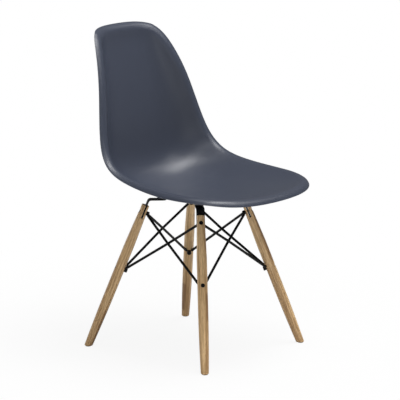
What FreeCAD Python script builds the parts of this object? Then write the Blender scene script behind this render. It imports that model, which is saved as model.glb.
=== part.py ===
"""Side chair: a one-piece moulded plastic shell on four splayed turned legs.

The legs are slotted onto bent steel straps that are screwed up into the shell, and two steel wires brace
each side of the base.  Millimetres, +Z up, the sitter faces -Y, the origin is on the floor at mid-chair.
"""
import FreeCAD, Part
import math
import os
import re

from FreeCAD import Placement, Rotation, Vector

doc = FreeCAD.newDocument("shell_chair")
sheet = doc.addObject("Spreadsheet::Sheet", "sizes")

# Overall size of the chair, which the shell's poles are shares of
CHAIR_WIDTH = 454.8
CHAIR_DEPTH = 539.1
CHAIR_HEIGHT = 799.7

SIZES = {
    "whole chair": dict(chair_width=CHAIR_WIDTH, chair_depth=CHAIR_DEPTH, chair_height=CHAIR_HEIGHT),
    "shell: wall and rolled lip": dict(shell_wall=4.5, lip_radius=20.0),
    "shell: where the front and top edges turn into the sides, how much its hollow narrows": dict(
        front_turn_share=0.13, top_turn_share=0.88, seat_narrowing=0.4, back_narrowing=0.0),
    "legs: turned dowels that lean out along the diagonals, sawn level at the floor": dict(
        foot_radius=272.6, leg_tilt_angle=21.69, base_middle=-1.2, leg_length=394.0, shaft_diameter=25.4,
        shoulder_diameter=21.0, neck_diameter=19.4, foot_diameter=19.6, neck_length=19.0, shoulder_length=7.0,
        shoulder_round=3.0, swell_length=80.0, swell_round=280.0, foot_taper=165.0, foot_round=2.0,
        top_round=1.5, slot_depth=35.0),
    "glides: nylon, under the feet": dict(
        glide_diameter=14.0, glide_height=1.5, glide_stem=4.0, glide_stem_length=12.0),
    "straps: flat steel, bent, one per leg": dict(
        strap_width=21.0, strap_thickness=3.0, strap_bend=8.0, strap_height=380.5, strap_offset=1.8,
        strap_clearance=1.5, strap_end_gap=1.5, mount_radius=85.0),
    "mounts: flared boss under the shell, insert, rubber spacer and countersunk screw": dict(
        boss_diameter=24.0, boss_height=24.0, boss_chamfer=1.0, spacer_diameter=22.0, spacer_height=2.0,
        spacer_chamfer=0.4, insert_diameter=8.4, insert_length=8.0, insert_relief=0.8,
        screw_diameter=6.0, screw_clearance=0.6, screw_length=12.0, screw_head_diameter=11.3),
    "leg bolts and the long round nuts that they screw into": dict(
        upper_bolt_along=374.6, lower_bolt_along=218.3, bolt_diameter=6.0, bolt_clearance=0.4,
        bolt_head_diameter=10.0, bolt_head_height=4.0, bolt_head_round=0.6, bolt_sink=0.8, head_clearance=0.6,
        hex_key=4.0, hex_depth=2.0, bolt_end_gap=0.5, nut_diameter=11.0, nut_chamfer=0.8, nut_clearance=0.6,
        nut_stand=7.0),
    "brace wires: where a nut's two wires would meet, in from the leg's middle line and along it": dict(
        wire_diameter=6.5, upper_wires_in=6.4, upper_wires_along=376.0, lower_wires_in=5.8,
        lower_wires_along=211.0, weld_depth=0.1, wire_clearance=0.2, wire_cross_gap=0.1,
        wire_cross_bend=200.0),
}

# Poles of the rim, half of the edge line from the middle of the front edge to the top of the back:
# x in half widths of the chair, y in its depths and z in rises of the shell from its mounts
RIM = dict(
    front_middle=(0.0000, -0.4880, 0.1183), front_wide=(0.5637, -0.4880, 0.1183),
    front_corner=(0.8889, -0.3791, 0.1539), seat_side=(0.9925, -0.1682, 0.1513),
    hip=(0.9211, 0.0565, 0.1831), hip_turn=(0.9030, 0.1953, 0.2392), waist=(0.8109, 0.2507, 0.4139),
    ribs=(0.6946, 0.2912, 0.6642), shoulder=(0.5632, 0.3589, 0.8682),
    top_corner=(0.4610, 0.4219, 0.9827), top_wide=(0.2825, 0.4644, 0.9935),
    top_middle=(0.0000, 0.4644, 0.9935))

# Poles, y and z alike, of the line down the middle of the sitting face between the rim's two ends
MIDDLE = dict(
    thigh=(-0.4126, 0.0891), seat_front=(-0.2973, 0.0675), seat=(-0.1301, 0.0458),
    seat_low=(0.0558, 0.0313), seat_back=(0.2342, 0.0289), bend=(0.3419, 0.1253),
    lumbar=(0.3661, 0.3517), back=(0.4014, 0.5685), upper_back=(0.4460, 0.7974), crown=(0.4757, 0.9419))

row = 0
for note, group in SIZES.items():
    row += 1
    sheet.set(f"A{row}", note)
    for alias, value in group.items():
        row += 1
        sheet.set(f"A{row}", alias)
        sheet.set(f"B{row}", str(value))
        sheet.setAlias(f"B{row}", alias)
for line, poles in (("rim", RIM), ("middle", MIDDLE)):
    for pole, place in poles.items():
        row += 1
        sheet.set(f"A{row}", f"{line} {pole}")
        for column, axis, value in zip("BCD", "xyz"[-len(place):], place):
            sheet.set(f"{column}{row}", str(value))
            sheet.setAlias(f"{column}{row}", f"{line}_{pole}_{axis}")
doc.recompute()

ALIASES = [alias for group in SIZES.values() for alias in group]


def size(expression):
    """The value now of a sheet alias, or of an expression of aliases."""
    return float(sheet.evalExpression(expression))


def add(kind, name, place=None, **expressions):
    """Adds an object whose properties follow expressions of the sheet's aliases."""
    item = doc.addObject(kind, name)
    if place:
        item.Placement = place
    for prop, expression in expressions.items():
        bound = re.sub(r"[a-z]\w*", lambda word: f"sizes.{word[0]}" if word[0] in ALIASES else word[0],
                       str(expression))
        item.setExpression(prop, bound)
    return item


def cylinder(name, place, diameter, length):
    return add("Part::Cylinder", name, place, Radius=f"({diameter}) / 2", Height=length)


def fused(name, pieces):
    result = doc.addObject("Part::MultiFuse", name)
    result.Shapes = pieces
    return result


def cut(name, base, tools, place=None):
    """base less every tool; the tools lie in the base's own frame and place moves the result."""
    result = doc.addObject("Part::Cut", name)
    result.Base = base
    result.Tool = tools[0] if len(tools) == 1 else fused(f"{name}_tools", tools)
    if place:
        result.Placement = place
    return result


def edged(kind, name, base, radius, chosen):
    """Rounds ("Fillet") or bevels ("Chamfer") the edges of base that chosen picks."""
    doc.recompute()
    result = doc.addObject(f"Part::{kind}", name)
    result.Base = base
    result.Edges = [(number, radius, radius)
                    for number, edge in enumerate(base.Shape.Edges, 1) if chosen(edge)]
    return result


def round_edge_at(height):
    """Picks the circular edges that lie at one height of a turned piece."""
    return lambda edge: len(edge.Vertexes) == 1 and max(
        abs(edge.BoundBox.ZMin - height), edge.BoundBox.ZLength) < TOLERANCE


# Frames that the pieces of one corner share
CORNERS = {"front_right": -135.0, "front_left": -45.0, "rear_left": 45.0, "rear_right": 135.0}
TO_X = Rotation(Vector(0, 1, 0), 90)        # lays a cylinder's axis along +X
TO_XZ_PLANE = Rotation(Vector(1, 0, 0), 90)
OVER = 1.0                                  # how far a cutting tool runs past the face that it opens
TOLERANCE = 1e-3                            # places closer than this are one place


def diagonal(corner):
    """X points out to the foot, Z is up, and the origin is on the floor at the middle of the base."""
    return Placement(Vector(0, size("base_middle"), 0), Rotation(Vector(0, 0, 1), CORNERS[corner]))


def leaning():
    """From the diagonal's frame to the leg's: Z runs up the leg from the floor, X faces away."""
    return Placement(Vector(size("foot_radius"), 0, 0), Rotation(Vector(0, 1, 0), -size("leg_tilt_angle")))


def along_leg(corner):
    return diagonal(corner) * leaning()


def shifted(x=0.0, y=0.0, z=0.0, turn=None):
    return Placement(Vector(x, y, z), turn or Rotation())


def tangent_arc(before, corner, after, radius):
    """Start, crown and end of the arc that rounds the corner between two straight runs."""
    back, on = (before - corner).normalize(), (after - corner).normalize()
    half = back.getAngle(on) / 2
    reach = radius / math.tan(half)
    crown = corner + (back + on).normalize() * (radius / math.sin(half) - radius)
    return corner + back * reach, crown, corner + on * reach


def rounded_run(corners, radii):
    """Closed run of straight lines between the corners, each rounded to its radius (0 leaves it sharp)."""
    count = len(corners)
    ends = []
    for number, (corner, radius) in enumerate(zip(corners, radii)):
        neighbours = corners[number - 1], corner, corners[(number + 1) % count]
        ends.append(tangent_arc(*neighbours, radius) if radius else (corner, None, corner))
    run = []
    for number, (start, crown, end) in enumerate(ends):
        if crown:
            run.append(Part.Arc(start, crown, end))
        following = ends[(number + 1) % count][0]
        if (following - end).Length > TOLERANCE:
            run.append(Part.LineSegment(end, following))
    return run


def outline(name, points, radii):
    """Sketch in the XZ plane of a closed outline given as (x, z) corners."""
    sketch = doc.addObject("Sketcher::SketchObject", name)
    sketch.Placement = shifted(turn=TO_XZ_PLANE)
    sketch.addGeometry(rounded_run([Vector(x, z, 0) for x, z in points], radii), False)
    return sketch


# ---------------------------------------------------------------- shell
STRAP_TOP, STRAP_FOOT = "strap_height + strap_thickness / 2", "strap_height - strap_thickness / 2"
BOSS_FOOT = f"{STRAP_TOP} + spacer_height"
SPLINE_DEGREE = 3


def spline(poles):
    """Clamped cubic with evenly spaced knots, from 0 at its first pole to 1 at its last."""
    spans = len(poles) - SPLINE_DEGREE
    times = [SPLINE_DEGREE + 1] + [1] * (spans - 1) + [SPLINE_DEGREE + 1]
    knots = [step / spans for step in range(spans + 1)]
    curve = Part.BSplineCurve()
    curve.buildFromPolesMultsKnots(poles, times, knots, False, SPLINE_DEGREE)
    return curve


def pole(line, name, across="0"):
    """Place of a pole of the rim or the middle line."""
    depth = size(f"{line}_{name}_y * chair_depth")
    height = size(f"{BOSS_FOOT} + {line}_{name}_z * (chair_height - ({BOSS_FOOT}))")
    return Vector(size(f"{across} * chair_width / 2"), depth, height)


rim = spline([pole("rim", name, f"rim_{name}_x") for name in RIM])
middle = spline([rim.StartPoint] + [pole("middle", name) for name in MIDDLE] + [rim.EndPoint])
FRONT_TURN, TOP_TURN = size("front_turn_share"), size("top_turn_share")
SEAT_NARROWING, BACK_NARROWING = size("seat_narrowing"), size("back_narrowing")
LIP, WALL = size("lip_radius"), size("shell_wall")
INSIDE_RATIO = 0.95      # how far out from the middle the slope of the face at the rim is read
LIP_BLEND_RATIO = 2.0    # lip radii over which the wall's direction turns from the lip's to the face's
GRADING_POWER = 2.2      # how much closer the skins' points lie near the rim, so that the lip is followed
SKIN_TOLERANCE = 0.05    # how close the skins keep to their points


def mirrored(point):
    return Vector(-point.x, point.y, point.z)


def rim_patch(across, along):
    """The face stretched between the front, top and side stretches of the rim; both run from -1 to 1."""
    front = rim.value(FRONT_TURN * abs(across))
    top = rim.value(1 - (1 - TOP_TURN) * abs(across))
    if across < 0:
        front, top = mirrored(front), mirrored(top)
    share, climb = (1 + across) / 2, (1 + along) / 2
    side = rim.value(FRONT_TURN + (TOP_TURN - FRONT_TURN) * climb)
    low, high = rim.value(FRONT_TURN), rim.value(TOP_TURN)
    edges = front * (1 - climb) + top * climb + side * share + mirrored(side) * (1 - share)
    low_corners = low * share + mirrored(low) * (1 - share)
    high_corners = high * share + mirrored(high) * (1 - share)
    return edges - low_corners * (1 - climb) - high_corners * climb


def sitting_face(across, along):
    """The rim patch, sunk to the middle line and left where it is along the rim."""
    climb = (1 + along) / 2
    narrowing = SEAT_NARROWING * (1 - climb) + BACK_NARROWING * climb
    depth = (1 - across ** 2) / (1 + narrowing * across ** 2)
    return rim_patch(across, along) + (middle.value(climb) - rim_patch(0, along)) * depth


def face_normal(across, along, step=1e-3):
    wide = sitting_face(min(across + step, 1), along) - sitting_face(max(across - step, -1), along)
    tall = sitting_face(across, min(along + step, 1)) - sitting_face(across, max(along - step, -1))
    return wide.cross(tall).normalize()


def rim_frame(place):
    """Point on the half rim, the rim's direction, the way out of the face there and the way up from it."""
    if place < FRONT_TURN:
        across, along = place / FRONT_TURN, -1.0
    elif place > TOP_TURN:
        across, along = (1 - place) / (1 - TOP_TURN), 1.0
    else:
        across, along = 1.0, 2 * (place - FRONT_TURN) / (TOP_TURN - FRONT_TURN) - 1
    point = rim.value(place)
    ahead = rim.getD1(place)[1].normalize()
    out = point - sitting_face(INSIDE_RATIO * across, INSIDE_RATIO * along)
    out = (out - ahead * out.dot(ahead)).normalize()
    return point, ahead, out, out.cross(ahead)


def lipped(across, along):
    """Points of the upper and lower skin: near the rim the face rolls down through a quarter circle."""
    flat = sitting_face(across, along)
    point, ahead, out, up = rim_frame(rim.parameter(flat))
    offset = flat - point
    inset = (offset - ahead * offset.dot(ahead)).Length / LIP
    roll = math.asin(1 - min(inset, 1))
    upper = flat - up * (LIP * (1 - math.cos(roll)))
    if inset > 1:
        blend = min((inset - 1) / LIP_BLEND_RATIO, 1)
        blend *= blend * (3 - 2 * blend)
        up = (up * (1 - blend) + face_normal(across, along) * blend).normalize()
    return upper, upper - (up * math.cos(roll) + out * math.sin(roll)) * WALL


def graded(steps):
    """From 0 to 1 in steps that close up towards 1."""
    return [1 - (1 - step / steps) ** GRADING_POWER for step in range(steps + 1)]


def skins(steps_across=20, steps_along=30):
    """The upper and the lower skin, each over a grid of points."""
    ladder = [-share for share in reversed(graded(steps_along)[1:])] + graded(steps_along)
    columns = [[lipped(across, along) for along in ladder] for across in graded(steps_across)]
    pair = []
    for side in (0, 1):
        left_half = [[points[side] for points in column] for column in columns]
        right_half = [[mirrored(point) for point in column] for column in reversed(left_half[1:])]
        surface = Part.BSplineSurface()
        surface.approximate(Points=right_half + left_half, DegMin=SPLINE_DEGREE, DegMax=SPLINE_DEGREE,
                            Continuity=2, Tolerance=SKIN_TOLERANCE, ParamType="ChordLength")
        pair.append(surface)
    return pair


def edge_lines(skin):
    left, right, front, top = skin.bounds()
    return [line.toShape() for line in (skin.uIso(left), skin.uIso(right), skin.vIso(front), skin.vIso(top))]


def quarters(skin):
    """The skin as four smooth faces that meet along its two middle lines."""
    left, right, front, top = skin.bounds()
    centre, waist = (left + right) / 2, (front + top) / 2
    return [skin.toShape(*across, *along)
            for across in ((left, centre), (centre, right)) for along in ((front, waist), (waist, top))]


upper_skin, lower_skin = skins()
rim_faces = [Part.makeRuledSurface(*pair) for pair in zip(edge_lines(upper_skin), edge_lines(lower_skin))]
moulding = Part.Shell(quarters(upper_skin) + quarters(lower_skin) + rim_faces)
moulding.sewShape()
skin_solid = Part.Solid(moulding)
shell_skin = doc.addObject("Part::Feature", "shell_skin")
shell_skin.Shape = skin_solid if skin_solid.Volume > 0 else skin_solid.reversed()

LID_SIDE = "boss_diameter * 4"
bosses, boss_holes = [], []
for corner in CORNERS:
    foot = diagonal(corner) * shifted(size("mount_radius"), 0, size(BOSS_FOOT))
    plumb = Part.makeLine(foot.Base, foot.Base + Vector(0, 0, size("chair_height")))
    wall = plumb.common(shell_skin.Shape).BoundBox
    heart = Vector(foot.Base.x, foot.Base.y, (wall.ZMin + wall.ZMax) / 2)
    facing = upper_skin.normal(*upper_skin.parameter(Vector(heart.x, heart.y, wall.ZMax)))
    if facing.z < 0:
        facing = -facing
    block = add("Part::Cone", f"boss_block_{corner}", foot, Radius1="boss_diameter / 2",
                Radius2="boss_diameter / 2 + boss_height", Height="boss_height")
    rounded = edged("Chamfer", f"boss_foot_{corner}", block, size("boss_chamfer"),
                    round_edge_at(foot.Base.z))
    lid = add("Part::Box", f"boss_lid_{corner}", Length=LID_SIDE, Width=LID_SIDE, Height=LID_SIDE)
    lid.Placement = Placement(heart, Rotation(Vector(0, 0, 1), facing)) * shifted(
        -size(LID_SIDE) / 2, -size(LID_SIDE) / 2)
    bosses.append(cut(f"boss_{corner}", rounded, [lid]))
    boss_holes.append(cylinder(
        f"insert_hole_{corner}", foot * shifted(z=-OVER), "insert_diameter",
        f"insert_length + insert_relief + {OVER}"))
cut("seat_shell", fused("shell_with_bosses", [shell_skin] + bosses), boss_holes)


# ---------------------------------------------------------------- mounts: insert, spacer, screw
SCREW_HEAD_HEIGHT = "(screw_head_diameter - screw_diameter) / 2"


def hex_socket(name, place):
    """Hexagonal pocket that opens at place, whose Z points out of the screw's head."""
    prism = add("Part::Prism", name, None, Circumradius="hex_key / sqrt(3)", Height=f"hex_depth + {OVER}")
    prism.Polygon = 6
    prism.Placement = place * shifted(z=-size("hex_depth"))
    return prism


def ring(name, place, base, inner, length):
    """A turned piece, standing on its frame's origin, with a hole right through it."""
    bore = cylinder(f"{name}_bore", shifted(z=-OVER), inner, f"{length} + {2 * OVER}")
    return cut(name, base, [bore], place)


inserts, screws = [], []
for corner in CORNERS:
    mount = diagonal(corner) * shifted(size("mount_radius"))
    sleeve = cylinder(f"insert_{corner}_sleeve", shifted(), "insert_diameter", "insert_length")
    inserts.append(ring(f"insert_{corner}", mount * shifted(z=size(BOSS_FOOT)), sleeve, "screw_diameter",
                        "insert_length"))
    puck = cylinder(f"spacer_{corner}_puck", shifted(), "spacer_diameter", "spacer_height")
    puck = edged("Chamfer", f"spacer_{corner}_edges", puck, size("spacer_chamfer"),
                 lambda edge: len(edge.Vertexes) == 1)
    ring(f"rubber_spacer_{corner}", mount * shifted(z=size(STRAP_TOP)), puck,
         "screw_diameter + screw_clearance", "spacer_height")
    head = add("Part::Cone", f"screw_{corner}_head", None, Radius1="screw_head_diameter / 2",
               Radius2="screw_diameter / 2", Height=SCREW_HEAD_HEIGHT)
    shank = cylinder(f"screw_{corner}_shank", shifted(), "screw_diameter", "screw_length")
    socket = hex_socket(f"screw_{corner}_socket", shifted(turn=Rotation(Vector(1, 0, 0), 180)))
    screws.append(cut(f"screw_{corner}", fused(f"screw_{corner}_solid", [head, shank]), [socket],
                      mount * shifted(z=size(STRAP_FOOT))))

for label, pieces in (("threaded_inserts", inserts), ("mount_screws", screws)):
    doc.addObject("Part::Compound", label).Links = pieces


# ---------------------------------------------------------------- brace wires
LEVELS = {"upper": "neck_diameter", "lower": "shaft_diameter"}  # the leg's thickness where it is bolted
SIDES = {"front": ("front_right", "front_left"), "left": ("front_left", "rear_left"),
         "rear": ("rear_left", "rear_right"), "right": ("rear_right", "front_right")}


def bolt_axis(corner, level):
    """X runs out along a leg bolt, from the middle line of the leg."""
    return along_leg(corner) * shifted(z=size(f"{level}_bolt_along"))


def wires_meet(corner, level):
    """Where the middle lines of a nut's two wires would meet if they ran on into the leg."""
    return (along_leg(corner) * shifted(-size(f"{level}_wires_in"), 0, size(f"{level}_wires_along"))).Base


def crossing(start, end, other_start, other_end):
    """Where a wire passes another, bowed off its straight line so that the two just touch."""
    run, other = end - start, other_end - other_start
    normal = run.cross(other)
    share = (other_start - start).cross(other).dot(normal) / normal.Length ** 2
    return start + run * share + normal.normalize() * (size("wire_diameter + wire_cross_gap") / 2)


def wire_end(corner, level, target):
    """Where a wire that heads for target from its meeting place comes out beside the nut it is welded to."""
    start = wires_meet(corner, level)
    heading = (target - start).normalize()
    to_bolt = bolt_axis(corner, level).inverse()
    origin, slope = to_bolt.multVec(start), to_bolt.Rotation.multVec(heading)
    reach = size("(nut_diameter + wire_diameter) / 2 - weld_depth")
    leaning_on = slope.y ** 2 + slope.z ** 2
    towards = origin.y * slope.y + origin.z * slope.z
    short = origin.y ** 2 + origin.z ** 2 - reach ** 2
    return start + heading * ((math.sqrt(towards ** 2 - leaning_on * short) - towards) / leaning_on)


def brace_wire(label, ends, other_ends):
    """A round wire between two nuts, each given as a leg's corner and a level; its ends are ground to sit
    against the nuts and clear the legs.  The other ends are those of the wire that it crosses."""
    meets = [wires_meet(*end) for end in ends + other_ends]
    middle_of_run = crossing(*meets)
    start, end = [wire_end(*end, middle_of_run) for end in ends]
    before, crown, after = tangent_arc(start, middle_of_run, end, size("wire_cross_bend"))
    route = doc.addObject("Part::Feature", f"{label}_route")
    route.Shape = Part.Wire([piece.toShape() for piece in (
        Part.LineSegment(start, before), Part.Arc(before, crown, after), Part.LineSegment(after, end))])
    section = add("Part::Circle", f"{label}_section", Radius="wire_diameter / 2")
    section.Placement = Placement(start, Rotation(Vector(0, 0, 1), before - start))
    rod = doc.addObject("Part::Sweep", f"{label}_rod")
    rod.Sections = [section]
    rod.Spine = (route, [f"Edge{number + 1}" for number in range(len(route.Shape.Edges))])
    rod.Solid, rod.Frenet = True, True
    ground_away = []
    for corner, level in ends:
        nut_bed = bolt_axis(corner, level) * shifted(x=-size("shaft_diameter * 2"), turn=TO_X)
        ground_away += [
            cylinder(f"{label}_{level}_nut_bed", nut_bed, "nut_diameter", "shaft_diameter * 2"),
            cylinder(f"{label}_{level}_leg_bed", along_leg(corner), "shaft_diameter + wire_clearance * 2",
                     "leg_length")]
    cut(label, rod, ground_away)


for side, (corner, following) in SIDES.items():
    falling = [(corner, "upper"), (following, "lower")]
    rising = [(corner, "lower"), (following, "upper")]
    brace_wire(f"brace_wire_{side}_a", falling, rising)
    brace_wire(f"brace_wire_{side}_b", rising, falling)


# ---------------------------------------------------------------- leg bolts and weld nuts
def head_seat(level):
    """How far out from the leg's middle line the bolt's head bears."""
    return size(f"{LEVELS[level]} / 2 - bolt_sink - bolt_head_height")


def nut_seat(level):
    """How far in from the leg's middle line the flat for the nut lies: just deep enough to be whole."""
    return math.sqrt(size(LEVELS[level]) ** 2 - size("nut_diameter + nut_clearance") ** 2) / 2


def nut_end(level):
    return size(f"{LEVELS[level]} / 2 + nut_stand")


for level in LEVELS:
    bolts, nuts = [], []
    for corner in CORNERS:
        node = bolt_axis(corner, level)
        label = f"{level}_bolt_{corner}"
        head = cylinder(f"{label}_head", shifted(), "bolt_head_diameter", "bolt_head_height")
        head = edged("Fillet", f"{label}_crown", head, size("bolt_head_round"),
                     round_edge_at(size("bolt_head_height")))
        reach = head_seat(level) + nut_end(level) - size("bolt_end_gap")
        shank = cylinder(f"{label}_shank", shifted(z=-reach), "bolt_diameter", reach)
        socket = hex_socket(f"{label}_socket", shifted(z=size("bolt_head_height")))
        bolts.append(cut(label, fused(f"{label}_solid", [head, shank]), [socket],
                         node * shifted(x=head_seat(level), turn=TO_X)))

        label = f"{level}_nut_{corner}"
        length = nut_end(level) - nut_seat(level)
        body = cylinder(f"{label}_body", shifted(), "nut_diameter", length)
        body = edged("Chamfer", f"{label}_edges", body, size("nut_chamfer"), round_edge_at(0.0))
        nuts.append(ring(label, node * shifted(x=-nut_end(level), turn=TO_X), body, "bolt_diameter", length))
    doc.addObject("Part::Compound", f"{level}_leg_bolts").Links = bolts
    doc.addObject("Part::Compound", f"{level}_weld_nuts").Links = nuts


# ---------------------------------------------------------------- legs
def floor_level(edge):
    """Picks the edge of the sawn foot, in the leg's frame."""
    return abs(leaning().multVec(edge.CenterOfMass).z - size("glide_height")) < TOLERANCE


def leg_outline(name):
    top, neck, shoulder = size("leg_length"), size("neck_diameter / 2"), size("shoulder_diameter / 2")
    shaft, foot, taper = size("shaft_diameter / 2"), size("foot_diameter / 2"), size("foot_taper")
    neck_end = top - size("neck_length")
    swell_top = neck_end - size("shoulder_length")
    swell_end = swell_top - size("swell_length")
    thinner = shaft - foot
    reach = (taper ** 2 + thinner ** 2) / (2 * taper)
    taper_radius = (taper ** 2 + thinner ** 2) / (2 * thinner)
    below = -foot
    points = [(0, below), (foot, below), (foot, 0), (shaft, taper - reach), (shaft, swell_end),
              (shoulder, swell_top), (neck, neck_end), (neck, top), (0, top)]
    radii = [0, 0, 0, taper_radius, size("swell_round"), size("shoulder_round"), size("shoulder_round"),
             size("top_round"), 0]
    return outline(name, points, radii)


for corner in CORNERS:
    label = f"leg_{corner}"
    blank = doc.addObject("Part::Revolution", f"{label}_turned")
    blank.Source = leg_outline(f"{label}_outline")
    blank.Axis, blank.Angle, blank.Solid = Vector(0, 0, 1), 360, True
    ground = add("Part::Box", f"{label}_ground", Length="foot_diameter * 4", Width="foot_diameter * 4",
                 Height="foot_diameter * 2")
    ground.Placement = leaning().inverse() * shifted(
        size("foot_radius - foot_diameter * 2"), -size("foot_diameter * 2"),
        size("glide_height - foot_diameter * 2"))
    sawn = cut(f"{label}_sawn", blank, [ground])
    softened = edged("Fillet", f"{label}_softened", sawn, size("foot_round"), floor_level)
    slot = add("Part::Box", f"{label}_slot", Length="strap_thickness + strap_clearance",
               Width="shaft_diameter", Height=f"slot_depth + {OVER}")
    slot.Placement = shifted(-size("strap_offset + (strap_thickness + strap_clearance) / 2"),
                             -size("shaft_diameter / 2"), size("leg_length - slot_depth"))
    stem = leaning().inverse() * shifted(size("foot_radius"))
    tools = [slot, cylinder(f"{label}_glide_hole", stem, "glide_stem", "glide_stem_length")]
    for level in LEVELS:
        name, bolt = f"{label}_{level}", shifted(z=size(f"{level}_bolt_along"))
        tools += [
            cylinder(f"{name}_hole", bolt * shifted(x=-size("shaft_diameter"), turn=TO_X),
                     "bolt_diameter + bolt_clearance", "shaft_diameter * 2"),
            cylinder(f"{name}_head_hole", bolt * shifted(x=head_seat(level), turn=TO_X),
                     "bolt_head_diameter + head_clearance", "shaft_diameter"),
            cylinder(f"{name}_flat", bolt * shifted(x=-nut_seat(level) - size("shaft_diameter"), turn=TO_X),
                     "nut_diameter + nut_clearance", "shaft_diameter")]
    cut(label, softened, tools, along_leg(corner))

    glide_frame = diagonal(corner) * shifted(size("foot_radius"))
    pad = cylinder(f"glide_{corner}_pad", shifted(), "glide_diameter", "glide_height")
    pin = cylinder(f"glide_{corner}_pin", shifted(), "glide_stem", "glide_stem_length")
    glide = fused(f"glide_{corner}", [pad, pin])
    glide.Placement = glide_frame


# ---------------------------------------------------------------- straps
def strap_outline(name):
    """Side view: up through the leg's slot, over the bend and in under the shell to the mount."""
    lean, half = math.radians(size("leg_tilt_angle")), size("strap_thickness / 2")
    up, inward = Vector(-math.sin(lean), math.cos(lean), 0), Vector(-1, 0, 0)
    up_side, inward_side = Vector(up.y, -up.x, 0), Vector(0, 1, 0)
    foot = Vector(size("foot_radius"), 0, 0) - up_side * size("strap_offset")
    low = foot + up * size("leg_length - slot_depth + strap_end_gap")
    bend = foot + up * ((size("strap_height") - foot.y) / up.y)
    far = Vector(size("mount_radius"), size("strap_height"), 0)
    mitre = (up_side + inward_side) * (half / (1 + up_side.dot(inward_side)))
    points = [low + up_side * half, bend + mitre, far + inward_side * half,
              far - inward_side * half, bend - mitre, low - up_side * half]
    radius = size("strap_bend")
    return outline(name, [(point.x, point.y) for point in points], [0, radius + half, 0, 0, radius - half, 0])


for corner in CORNERS:
    label = f"strap_{corner}"
    bar = add("Part::Extrusion", f"{label}_bar", LengthFwd="strap_width")
    bar.Base = strap_outline(f"{label}_outline")
    bar.DirMode, bar.Symmetric, bar.Solid = "Normal", True, True
    under = shifted(size("mount_radius"), 0, size(STRAP_FOOT))
    eye = cylinder(f"{label}_eye", under, "strap_width", "strap_thickness")
    eye_hole = cylinder(f"{label}_eye_hole", under * shifted(z=-OVER), "screw_diameter + screw_clearance",
                        f"strap_thickness + {2 * OVER}")
    countersink = add("Part::Cone", f"{label}_countersink", under * shifted(z=-OVER),
                      Radius1=f"screw_head_diameter / 2 + {OVER}", Radius2="screw_diameter / 2",
                      Height=f"{SCREW_HEAD_HEIGHT} + {OVER}")
    bolt_hole = cylinder(
        f"{label}_bolt_hole", leaning() * shifted(-size("shaft_diameter"), 0, size("upper_bolt_along"), TO_X),
        "bolt_diameter + bolt_clearance", "shaft_diameter * 2")
    cut(label, fused(f"{label}_blank", [bar, eye]), [eye_hole, countersink, bolt_hole], diagonal(corner))


# ---------------------------------------------------------------- check and write
GROUPS = ["threaded_inserts", "mount_screws", "upper_leg_bolts", "upper_weld_nuts", "lower_leg_bolts",
          "lower_weld_nuts"]
NODES = ["seat_shell"] + GROUPS + [f"brace_wire_{side}_{letter}" for side in SIDES for letter in "ab"] + [
    f"{piece}_{corner}" for piece in ("rubber_spacer", "strap", "leg", "glide") for corner in CORNERS]

doc.recompute()
for item in doc.Objects:
    faults = [state for state in item.State if state in ("Invalid", "Error")]
    if faults:
        raise RuntimeError(f"{item.Label}: {faults}")
os.makedirs("parts", exist_ok=True)
for label in NODES:
    shape = doc.getObjectsByLabel(label)[0].Shape
    if shape.isNull() or not shape.isValid():
        raise RuntimeError(f"{label}: not a valid shape")
    shape.exportStep(f"parts/{label}.step")
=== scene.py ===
import math

import bpy
from mathutils import Matrix, Vector

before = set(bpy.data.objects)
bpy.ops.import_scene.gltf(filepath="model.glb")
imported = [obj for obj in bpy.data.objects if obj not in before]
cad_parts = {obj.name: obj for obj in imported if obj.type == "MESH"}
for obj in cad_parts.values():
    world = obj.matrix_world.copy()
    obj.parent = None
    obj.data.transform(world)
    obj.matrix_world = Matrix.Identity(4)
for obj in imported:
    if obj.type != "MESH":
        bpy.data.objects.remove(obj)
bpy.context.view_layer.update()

# ------------------------------------------------------------------ camera
# A long lens about six metres off, at the height of a standing person's eyes.
# It sees the chair from its front right.
IMAGE_SIZE = 400
FOCAL_PIXELS = 2432.7
azimuth, elevation, roll = map(math.radians, (-50.467, 12.565, 0.517))
distance = 6.1163
aim = Vector((-0.01149, -0.02392, 0.38248))

back = Vector((math.sin(azimuth) * math.cos(elevation),
               -math.cos(azimuth) * math.cos(elevation),
               math.sin(elevation)))
level = Vector((math.cos(azimuth), math.sin(azimuth), 0))
upright = back.cross(level)
right = level * math.cos(roll) + upright * math.sin(roll)
up = upright * math.cos(roll) - level * math.sin(roll)
lens = bpy.data.cameras.new("camera")
lens.sensor_width = 36.0
lens.lens = FOCAL_PIXELS / IMAGE_SIZE * lens.sensor_width
lens.clip_end = 50
camera = bpy.data.objects.new("camera", lens)
stand = Matrix.Translation(aim + back * distance)
camera.matrix_world = stand @ Matrix((right, up, back)).transposed().to_4x4()
bpy.context.scene.collection.objects.link(camera)
bpy.context.scene.camera = camera


# ------------------------------------------------------------------ seat shell
# One injection moulding in slate grey polypropylene: seat, back and a rolled lip all round.
# The mould is finely grained, so the skin is satin and its highlights are broad. The shell
# rests on four bosses under the seat, each held by one screw from below.
class Signal:
    """A shader socket that can be calculated with: each operation adds a Math node."""

    def __init__(self, nodes, socket):
        self.nodes, self.socket = nodes, socket

    def _math(self, operation, first, second=0.0):
        return self.nodes.node("ShaderNodeMath", {"operation": operation}, {0: first, 1: second})

    def __add__(self, other):
        return self._math("ADD", self, other)

    __radd__ = __add__

    def __mul__(self, other):
        return self._math("MULTIPLY", self, other)

    __rmul__ = __mul__

    def __sub__(self, other):
        return self._math("SUBTRACT", self, other)

    def __rsub__(self, other):
        return self._math("SUBTRACT", other, self)

    def __pow__(self, other):
        return self._math("POWER", self, other)

    def __rpow__(self, other):
        return self._math("POWER", other, self)

    def sine(self):
        return self._math("SINE", self)


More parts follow.
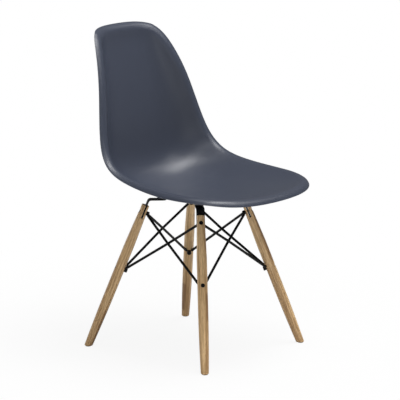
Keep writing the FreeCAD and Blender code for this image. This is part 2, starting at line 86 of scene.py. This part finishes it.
class Nodes:
    """The node tree of a finish or of the backdrop."""

    def __init__(self, tree):
        self.tree = tree

    def node(self, kind, settings=None, inputs=None, output=0):
        made = self.tree.nodes.new(kind)
        for setting, value in (settings or {}).items():
            setattr(made, setting, value)
        for socket, value in (inputs or {}).items():
            self.feed(made.inputs[socket], value)
        return Signal(self, made.outputs[output])

    def feed(self, socket, value):
        if isinstance(value, Signal):
            self.tree.links.new(value.socket, socket)
        else:
            socket.default_value = value


class Finish(Nodes):
    """A material made of nodes, with one Principled surface."""

    def __init__(self, name, **constants):
        self.material = bpy.data.materials.new(name)
        self.material.use_nodes = True
        super().__init__(self.material.node_tree)
        self.surface = self.tree.nodes["Principled BSDF"]
        self.set(**constants)

    def set(self, **inputs):
        for socket, value in inputs.items():
            self.feed(self.surface.inputs[socket.replace("_", " ")], value)

    def place(self):
        return self.node("ShaderNodeTexCoord", output="Object")

    def axis(self, where, letter):
        return self.node("ShaderNodeSeparateXYZ", {}, {0: where}, letter)

    def noise(self, where, per_metre, detail=2.0, roughness=0.5):
        return self.node("ShaderNodeTexNoise", {},
                         {"Vector": where, "Scale": per_metre,
                          "Detail": detail, "Roughness": roughness}, "Fac")

    def blend(self, share, first, second):
        return self.node("ShaderNodeMix", {"data_type": "RGBA"},
                         {0: share, 6: first, 7: second}, 2)

    def ramp(self, value, low, high, start=0.0):
        """Rises smoothly from start to 1 while the value goes from low to high."""
        return self.node("ShaderNodeMapRange", {"interpolation_type": "SMOOTHSTEP"},
                         {"Value": value, "From Min": low, "From Max": high, "To Min": start})

    def bump(self, height, depth):
        return self.node("ShaderNodeBump", {}, {"Height": height, "Distance": depth}, "Normal")

    def cover(self, *pieces):
        for piece in pieces:
            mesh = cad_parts[piece].data
            mesh.materials.clear()
            mesh.materials.append(self.material)


SLATE_DARK, SLATE_PALE = (0.0560, 0.0650, 0.0935, 1), (0.0605, 0.0705, 0.1010, 1)
plastic = Finish("shell_plastic", Specular_IOR_Level=0.5)
where = plastic.place()
cloud = plastic.noise(where, per_metre=6.0)
handling = plastic.noise(where, per_metre=40.0)
grain = plastic.noise(where, per_metre=1400.0, detail=3.0, roughness=0.6)
plastic.set(
    Base_Color=plastic.blend(cloud, SLATE_DARK, SLATE_PALE),
    Roughness=0.30 + 0.04 * handling + 0.04 * grain,
    Normal=plastic.bump(grain, depth=0.00004))
plastic.cover("seat_shell")

# ------------------------------------------------------------------ legs
# Four dowels turned from light beech, with the grain along them, under a clear satin lacquer.
# Each is thinner at the neck, where a saw cut takes the strap, and tapers to a foot sawn level.
# Towards the neck the colour is painted paler: painted light where the seat's shade falls.
BEARINGS = {"front_right": -135, "front_left": -45, "rear_left": 45, "rear_right": 135}
FOOT_REACH = 0.2726  # from the middle of the floor between the legs to the middle of a foot
LEG_TILT = math.radians(21.69)
WOOD_DARK, WOOD_PALE = (0.47, 0.278, 0.122, 1), (0.94, 0.65, 0.340, 1)
PORE_BROWN = (0.38, 0.215, 0.09, 1)
GRAIN_STRETCH = 0.05
RING_RATE = 800  # in radians per metre across the dowel, which makes a ring every 8 mm
RING_SHOW, BROAD_SHOW, NARROW_SHOW = 0.2, 2.8, 1.8

# The tone is a share of the way from dark to pale wood. Painted light raises it between two
# heights, which are measured along the dowel as the streaks' are.
FOOT_TONE, NECK_TONE_WITH_PAINTED_LIGHT = 0.23, 0.75
PAINTED_LIGHT_HEIGHTS = (0.03, 0.38)

# Dark brown streaks lie in each dowel: on which side of it, in degrees from outwards,
# and between which heights. Each shows between two distances from the dowel's middle line.
DARK_STREAKS = {"front_right": ((85, 0.125, 0.205), (95, 0.30, 0.41)),
             "front_left": ((0, 0.225, 0.38),),
             "rear_left": ((120, 0.02, 0.12),),
             "rear_right": ((170, -0.02, 0.11),)}
STREAK_BROWN = (0.26, 0.125, 0.05, 1)
STREAK_STRENGTH = 0.75
STREAK_DEPTHS = (0.0055, 0.0095)
STREAK_WAVER = 0.008  # how far the grain shifts its edge
STREAK_FADE = 0.012  # the length over which it begins and ends

for corner, bearing in BEARINGS.items():
    wood = Finish(f"leg_wood_{corner}", Specular_IOR_Level=0.45)
    turn = math.radians(bearing)
    foot = Vector((math.cos(turn), math.sin(turn), 0)) * FOOT_REACH
    where = wood.node("ShaderNodeMapping", {"vector_type": "TEXTURE"},
                      {"Vector": wood.place(), "Location": foot,
                       "Rotation": (0, -LEG_TILT, turn)})
    long_grain = wood.node("ShaderNodeMapping", {},
                           {"Vector": where, "Scale": (1, 1, GRAIN_STRETCH)})
    across, along = wood.axis(where, "X"), wood.axis(where, "Z")
    waver = wood.noise(long_grain, per_metre=60.0)
    drift = wood.noise(where, per_metre=7.0)
    rings = (across * RING_RATE + waver * 12 + drift * 8).sine()
    broad = wood.noise(long_grain, per_metre=130.0, detail=3.0, roughness=0.6) - 0.5
    narrow = wood.noise(long_grain, per_metre=420.0, detail=3.0, roughness=0.6) - 0.5
    pores = wood.noise(long_grain, per_metre=1600.0)
    # Painted light: the wood is painted paler up towards the neck, where the seat's shade falls.
    tone_with_painted_light = FOOT_TONE + (NECK_TONE_WITH_PAINTED_LIGHT - FOOT_TONE) * wood.ramp(along, *PAINTED_LIGHT_HEIGHTS)
    figure = wood.blend(tone_with_painted_light + rings * RING_SHOW + broad * BROAD_SHOW + narrow * NARROW_SHOW,
                        WOOD_DARK, WOOD_PALE)
    for side, low, high in DARK_STREAKS[corner]:
        facing = math.radians(side)
        outward = wood.node("ShaderNodeVectorMath", {"operation": "DOT_PRODUCT"},
                            {0: where, 1: (math.cos(facing), math.sin(facing), 0)}, "Value")
        inside = wood.ramp(outward + broad * STREAK_WAVER, *STREAK_DEPTHS)
        begun = wood.ramp(along, low, low + STREAK_FADE)
        ended = wood.ramp(along, high - STREAK_FADE, high)
        streak = inside * begun * (1 - ended)
        figure = wood.blend(streak * STREAK_STRENGTH, figure, STREAK_BROWN)
    dashes = (pores ** 6.0) * 6
    wood.set(
        Base_Color=wood.blend(dashes, figure, PORE_BROWN),
        Roughness=0.42 + 0.16 * narrow,
        Normal=wood.bump(pores + narrow, depth=0.0001))
    wood.cover(f"leg_{corner}")

# ------------------------------------------------------------------ straps, wires, bolts and nuts
# Mild steel, powder coated black after bending and welding: four flat straps in under the seat,
# eight wires that cross between the legs, and the round nuts they are welded to. The bolts
# through the legs and the screws into the seat have the same finish.
BLACK, BLACK_WORN = (0.002, 0.002, 0.002, 1), (0.004, 0.004, 0.004, 1)
coat = Finish("black_powder_coat", Specular_IOR_Level=0.22)
where = coat.place()
wear = coat.noise(where, per_metre=30.0)
orange_peel = coat.noise(where, per_metre=900.0)
coat.set(
    Base_Color=coat.blend(wear, BLACK, BLACK_WORN),
    Roughness=0.44 + 0.12 * orange_peel,
    Normal=coat.bump(orange_peel, depth=0.00005))
coat.cover("upper_weld_nuts", "lower_weld_nuts",
           "upper_leg_bolts", "lower_leg_bolts", "mount_screws")
for corner in BEARINGS:
    coat.cover(f"strap_{corner}")
for side in ("front", "left", "rear", "right"):
    coat.cover(f"brace_wire_{side}_a", f"brace_wire_{side}_b")

# ------------------------------------------------------------------ rubber spacers
# Black rubber pucks, moulded with a matt skin and squeezed between each boss and its strap.
# They let the shell give a little and keep the steel from squeaking on the plastic.
RUBBER_DARK, RUBBER_BLOOM = (0.010, 0.010, 0.011, 1), (0.022, 0.022, 0.022, 1)
rubber = Finish("spacer_rubber", Specular_IOR_Level=0.35)
where = rubber.place()
bloom = rubber.noise(where, per_metre=90.0, detail=4.0)
skin = rubber.noise(where, per_metre=2200.0)
rubber.set(
    Base_Color=rubber.blend(bloom, RUBBER_DARK, RUBBER_BLOOM),
    Roughness=0.62 + 0.2 * bloom,
    Normal=rubber.bump(skin, depth=0.00006))
for corner in BEARINGS:
    rubber.cover(f"rubber_spacer_{corner}")

# ------------------------------------------------------------------ threaded inserts
# Turned brass sleeves, moulded into the bosses to take the screws.
# The tool leaves fine rings round them, and the brass has dulled a little.
BRASS_BRIGHT, BRASS_DULL = (0.60, 0.42, 0.16, 1), (0.45, 0.30, 0.12, 1)
TOOL_RATE = 25000  # in radians per metre, which makes a tool ring every quarter millimetre
brass = Finish("insert_brass", Metallic=1.0)
where = brass.place()
tool_rings = (brass.axis(where, "Z") * TOOL_RATE).sine() * 0.5 + 0.5
tarnish = brass.noise(where, per_metre=160.0, detail=3.0)
brass.set(
    Base_Color=brass.blend(tarnish, BRASS_BRIGHT, BRASS_DULL),
    Roughness=0.24 + 0.18 * tarnish,
    Normal=brass.bump(tool_rings, depth=0.00002))
brass.cover("threaded_inserts")

# ------------------------------------------------------------------ glides
# Milky nylon discs on a stem that is pressed up into each foot.
# They are a little scuffed where they slide on the floor.
NYLON_CLEAN, NYLON_SCUFFED = (0.48, 0.46, 0.42, 1), (0.30, 0.28, 0.25, 1)
nylon = Finish("glide_nylon", Specular_IOR_Level=0.5)
where = nylon.place()
scuffs = nylon.noise(where, per_metre=700.0, detail=4.0, roughness=0.7)
nylon.set(
    Base_Color=nylon.blend(scuffs ** 3.0, NYLON_CLEAN, NYLON_SCUFFED),
    Roughness=0.32 + 0.3 * scuffs,
    Normal=nylon.bump(scuffs, depth=0.00005))
for corner in BEARINGS:
    nylon.cover(f"glide_{corner}")

# ------------------------------------------------------------------ floor
# A sweep of white paper. The camera sees it mostly as plain white,
# and near the chair a part of its real light and shadow is left.
HALF_FLOOR = 30.0
PAPER_WHITE = (0.92, 0.92, 0.92, 1)
WHITE = (1, 1, 1, 1)
NEAR_WHITE = 0.9  # the share of plain white near the chair
WHITE_RISE = (0.3, 1.1)  # the distances from the chair's middle between which it rises to 1
floor_mesh = bpy.data.meshes.new("floor")
floor_mesh.from_pydata([(x * HALF_FLOOR, y * HALF_FLOOR, 0)
                        for x, y in ((-1, -1), (1, -1), (1, 1), (-1, 1))],
                       [], [(0, 1, 2, 3)])
floor = bpy.data.objects.new("floor", floor_mesh)
bpy.context.scene.collection.objects.link(floor)
sweep = Finish("white_sweep", Base_Color=PAPER_WHITE, Roughness=1.0, Specular_IOR_Level=0.0)
reach = sweep.node("ShaderNodeVectorMath", {"operation": "LENGTH"}, {0: sweep.place()}, "Value")
plain = sweep.ramp(reach, *WHITE_RISE, start=NEAR_WHITE)
seen = sweep.node("ShaderNodeLightPath", output="Is Camera Ray")
lit = Signal(sweep, sweep.surface.outputs[0])
glow = sweep.node("ShaderNodeEmission", {}, {"Color": WHITE, "Strength": 1.0})
paper = sweep.node("ShaderNodeMixShader", {}, {0: seen * plain, 1: lit, 2: glow})
sweep.feed(sweep.tree.nodes["Material Output"].inputs["Surface"], paper)
floor_mesh.materials.append(sweep.material)

# ------------------------------------------------------------------ lamps
# Ten soft square lamps that face the chair. Most are high, overhead and at the front, and
# stronger towards the chair's left. One stands low behind it and lights the shell's edges.
LAMP_SIDE = 1.4
LAMP_DISTANCE = 4.0
LAMP_AIM = Vector((0, 0, 0.45))
# Each lamp's bearing from +X and height angle, both in degrees, and its power in watts
LAMPS = {"overhead": (270, 80, 46),
         "key": (310, 67, 31),
         "key_side": (352, 69, 30),
         "key_left": (240, 67, 20),
         "key_low": (290, 50, 16),
         "key_low_side": (330, 50, 12),
         "side_fill": (210, 40, 13),
         "rear_top": (135, 80, 10),
         "rear_fill": (96, 10, 31),
         "front_fill": (240, 10, 6)}
for name, (bearing, height, power) in LAMPS.items():
    bearing, height = math.radians(bearing), math.radians(height)
    away = Vector((math.cos(bearing) * math.cos(height),
                   math.sin(bearing) * math.cos(height),
                   math.sin(height)))
    light = bpy.data.lights.new(name, "AREA")
    light.shape, light.size, light.energy = "SQUARE", LAMP_SIDE, power
    lamp = bpy.data.objects.new(name, light)
    lamp.location = LAMP_AIM + away * LAMP_DISTANCE
    lamp.rotation_euler = (-away).to_track_quat("-Z", "Y").to_euler()
    bpy.context.scene.collection.objects.link(lamp)

# ------------------------------------------------------------------ backdrop
# Plain white where the camera sees it. Everywhere else it is dim,
# and adds only a little light to the chair and to the reflections in its skin.
BACKDROP_LIGHT = 0.14
world = bpy.data.worlds.new("studio")
bpy.context.scene.world = world
world.use_nodes = True
sky = Nodes(world.node_tree)
background = sky.tree.nodes["Background"].inputs
seen = sky.node("ShaderNodeLightPath", output="Is Camera Ray")
sky.feed(background["Color"], WHITE)
sky.feed(background["Strength"], seen * (1 - BACKDROP_LIGHT) + BACKDROP_LIGHT)

bpy.context.scene.view_settings.view_transform = "Standard"
